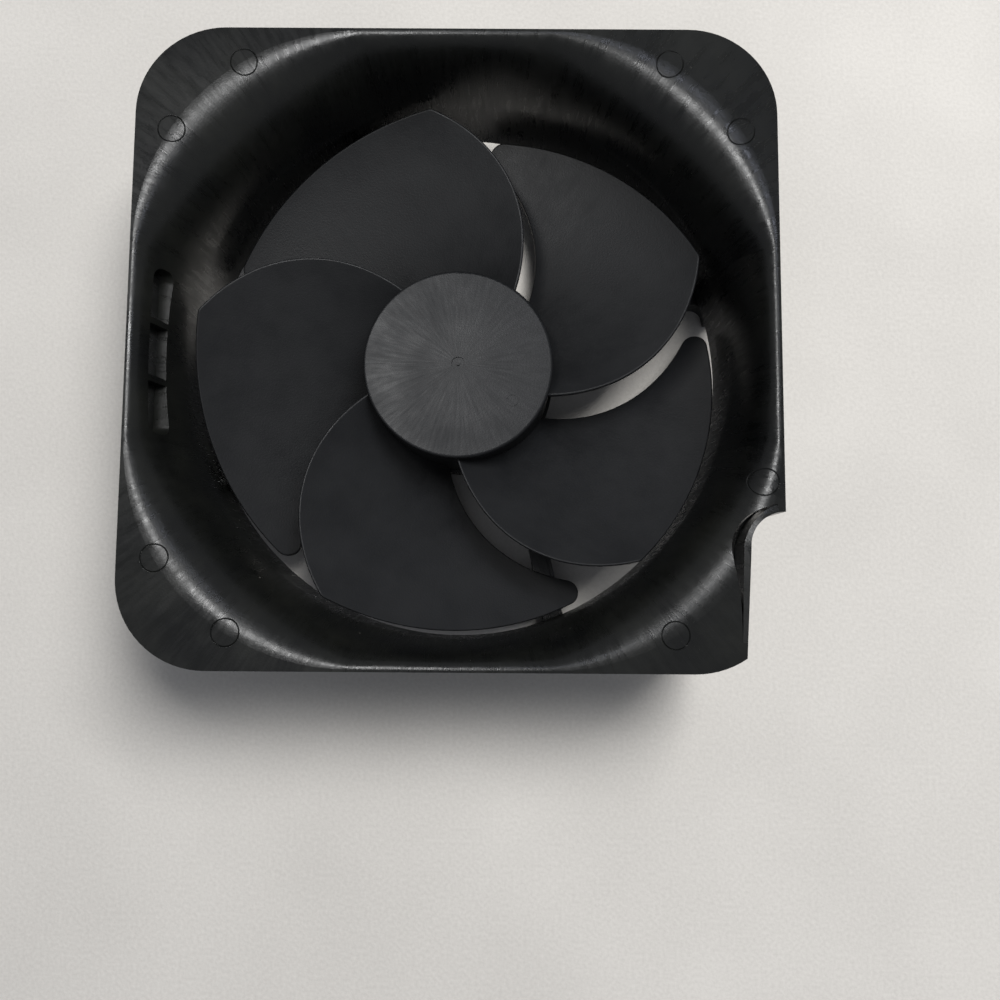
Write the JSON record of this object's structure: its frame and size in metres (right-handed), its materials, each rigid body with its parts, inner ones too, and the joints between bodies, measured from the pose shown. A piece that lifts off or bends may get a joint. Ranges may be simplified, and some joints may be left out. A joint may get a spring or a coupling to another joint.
{
  "type": "case fan",
  "caption": "Computer case fan: square funnel-mouthed housing, a swept-blade impeller on a brushless motor, and struts to a round motor base.",
  "frame": {"origin": "on the rotor axis, in the plane that the four feet stand on", "axes": "+Z along the rotor axis towards the funnel mouth; +X towards the edge with the notch; the fan lies on its feet"},
  "size_m": [0.145, 0.145, 0.05],
  "materials": {
    "housing_plastic": "black moulded glass-filled plastic, semi-gloss with fine texture",
    "impeller_plastic": "dark grey moulded glass-filled plastic, matt",
    "yoke_steel": "drawn and zinc plated steel",
    "magnet": "plastic bonded ferrite",
    "shaft_steel": "ground and polished steel",
    "brass": "turned brass",
    "spring_steel": "spring steel",
    "clear_plastic": "natural nylon",
    "lamination_steel": "stacked silicon steel sheets",
    "insulator_plastic": "moulded natural polyester",
    "circuit_board": "green solder mask on glass epoxy",
    "tinned_pins": "tinned copper",
    "component_plastic": "moulded epoxy",
    "capacitor_can": "drawn aluminium can",
    "bearing_steel": "polished bearing steel",
    "cage_plastic": "moulded nylon",
    "copper_wire": "enamelled copper wire",
    "label_film": "blank silver grey label film, no print"
  },
  "bodies": {
    "housing": {"bearing_tube": "brass", "capacitor": "capacitor_can", "circuit_board": "circuit_board", "coil_1": "copper_wire", "coil_2": "copper_wire", "coil_3": "copper_wire", "coil_4": "copper_wire", "coil_pins": "tinned_pins", "driver_chip": "component_plastic", "fan_frame": "housing_plastic", "hall_sensor": "component_plastic", "lower_bearing_outer_ring": "bearing_steel", "lower_bearing_shields": "bearing_steel", "lower_insulator": "insulator_plastic", "rear_label": "label_film", "resistors": "component_plastic", "solder_pads": "tinned_pins", "stator_core": "lamination_steel", "tube_cap": "clear_plastic", "upper_bearing_outer_ring": "bearing_steel", "upper_bearing_shields": "bearing_steel", "upper_insulator": "insulator_plastic"},
    "rotor": {"impeller": "impeller_plastic", "rotor_yoke": "yoke_steel", "magnet_ring": "magnet", "shaft": "shaft_steel", "hub_bush": "brass", "snap_ring": "spring_steel", "thrust_washer": "clear_plastic", "preload_spring": "spring_steel", "lower_bearing_inner_ring": "bearing_steel", "upper_bearing_inner_ring": "bearing_steel"},
    "lower_bearing_rollers": {"lower_bearing_balls": "bearing_steel", "lower_bearing_cage": "cage_plastic"},
    "upper_bearing_rollers": {"upper_bearing_balls": "bearing_steel", "upper_bearing_cage": "cage_plastic"}
  },
  "joints": [
    {"name": "rotor_spin", "type": "hinge", "parent": "housing", "child": "rotor", "pos_m": [0, 0, 0.0177], "axis": [0, 0, 1], "continuous": true},
    {"name": "lower_balls_spin", "type": "hinge", "parent": "housing", "child": "lower_bearing_rollers", "pos_m": [0, 0, 0.0085], "axis": [0, 0, 1], "continuous": true},
    {"name": "upper_balls_spin", "type": "hinge", "parent": "housing", "child": "upper_bearing_rollers", "pos_m": [0, 0, 0.0185], "axis": [0, 0, 1], "continuous": true}
  ],
  "couplings": [
    {"joint": "lower_balls_spin", "follows": "rotor_spin", "ratio": 0.4081},
    {"joint": "upper_balls_spin", "follows": "rotor_spin", "ratio": 0.4081}
  ]
}
